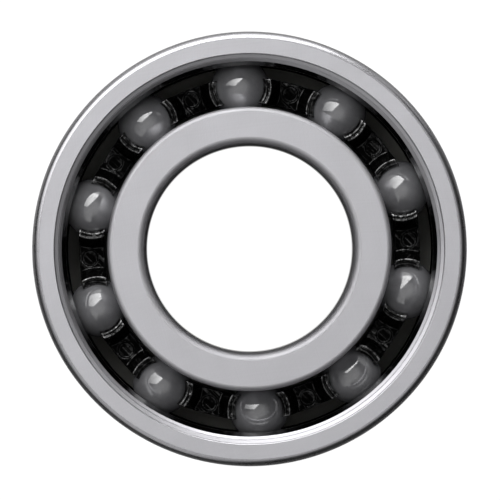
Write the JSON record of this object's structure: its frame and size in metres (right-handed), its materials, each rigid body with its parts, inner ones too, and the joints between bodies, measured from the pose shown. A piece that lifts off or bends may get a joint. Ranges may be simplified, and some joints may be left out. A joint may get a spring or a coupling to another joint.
{
  "type": "deep groove ball bearing",
  "caption": "Open single-row deep groove ball bearing with steel rings, dark ceramic balls and a black moulded snap cage; lets a shaft turn freely in a housing.",
  "frame": {"origin": "on the bearing's axis, at the middle of the rings' width", "axes": "+Z along the bearing's axis, out of the side where the cage's prongs and pockets are open; the first ball's centre is at 21.3 degrees from +X towards +Y"},
  "size_m": [0.035, 0.035, 0.01],
  "materials": {
    "ring_steel": "satin",
    "cage_polymer": "satin",
    "ball_ceramic": "polished"
  },
  "bodies": {
    "outer_ring": {"outer_ring": "ring_steel"},
    "inner_ring": {"inner_ring": "ring_steel"},
    "cage": {"cage": "cage_polymer"},
    "ball_01": {"ball_01": "ball_ceramic"},
    "ball_02": {"ball_02": "ball_ceramic"},
    "ball_03": {"ball_03": "ball_ceramic"},
    "ball_04": {"ball_04": "ball_ceramic"},
    "ball_05": {"ball_05": "ball_ceramic"},
    "ball_06": {"ball_06": "ball_ceramic"},
    "ball_07": {"ball_07": "ball_ceramic"},
    "ball_08": {"ball_08": "ball_ceramic"},
    "ball_09": {"ball_09": "ball_ceramic"},
    "ball_10": {"ball_10": "ball_ceramic"}
  },
  "joints": [
    {"name": "inner_ring_spin", "type": "hinge", "parent": "outer_ring", "child": "inner_ring", "pos_m": [0, 0, 0], "axis": [0, 0, 1], "continuous": true},
    {"name": "cage_spin", "type": "hinge", "parent": "outer_ring", "child": "cage", "pos_m": [0, 0, 0], "axis": [0, 0, 1], "continuous": true},
    {"name": "ball_01_spin", "type": "hinge", "parent": "cage", "child": "ball_01", "pos_m": [0.01227, 0.00478, 0], "axis": [0, 0, 1], "continuous": true},
    {"name": "ball_02_spin", "type": "hinge", "parent": "cage", "child": "ball_02", "pos_m": [0.00711, 0.01108, 0], "axis": [0, 0, 1], "continuous": true},
    {"name": "ball_03_spin", "type": "hinge", "parent": "cage", "child": "ball_03", "pos_m": [-0.00076, 0.01315, 0], "axis": [0, 0, 1], "continuous": true},
    {"name": "ball_04_spin", "type": "hinge", "parent": "cage", "child": "ball_04", "pos_m": [-0.00834, 0.01019, 0], "axis": [0, 0, 1], "continuous": true},
    {"name": "ball_05_spin", "type": "hinge", "parent": "cage", "child": "ball_05", "pos_m": [-0.01274, 0.00334, 0], "axis": [0, 0, 1], "continuous": true},
    {"name": "ball_06_spin", "type": "hinge", "parent": "cage", "child": "ball_06", "pos_m": [-0.01227, -0.00478, 0], "axis": [0, 0, 1], "continuous": true},
    {"name": "ball_07_spin", "type": "hinge", "parent": "cage", "child": "ball_07", "pos_m": [-0.00711, -0.01108, 0], "axis": [0, 0, 1], "continuous": true},
    {"name": "ball_08_spin", "type": "hinge", "parent": "cage", "child": "ball_08", "pos_m": [0.00076, -0.01315, 0], "axis": [0, 0, 1], "continuous": true},
    {"name": "ball_09_spin", "type": "hinge", "parent": "cage", "child": "ball_09", "pos_m": [0.00834, -0.01019, 0], "axis": [0, 0, 1], "continuous": true},
    {"name": "ball_10_spin", "type": "hinge", "parent": "cage", "child": "ball_10", "pos_m": [0.01274, -0.00334, 0], "axis": [0, 0, 1], "continuous": true}
  ],
  "couplings": [
    {"joint": "cage_spin", "follows": "inner_ring_spin", "ratio": 0.40961},
    {"joint": "ball_01_spin", "follows": "inner_ring_spin", "ratio": -2.6753},
    {"joint": "ball_02_spin", "follows": "inner_ring_spin", "ratio": -2.6753},
    {"joint": "ball_03_spin", "follows": "inner_ring_spin", "ratio": -2.6753},
    {"joint": "ball_04_spin", "follows": "inner_ring_spin", "ratio": -2.6753},
    {"joint": "ball_05_spin", "follows": "inner_ring_spin", "ratio": -2.6753},
    {"joint": "ball_06_spin", "follows": "inner_ring_spin", "ratio": -2.6753},
    {"joint": "ball_07_spin", "follows": "inner_ring_spin", "ratio": -2.6753},
    {"joint": "ball_08_spin", "follows": "inner_ring_spin", "ratio": -2.6753},
    {"joint": "ball_09_spin", "follows": "inner_ring_spin", "ratio": -2.6753},
    {"joint": "ball_10_spin", "follows": "inner_ring_spin", "ratio": -2.6753}
  ]
}
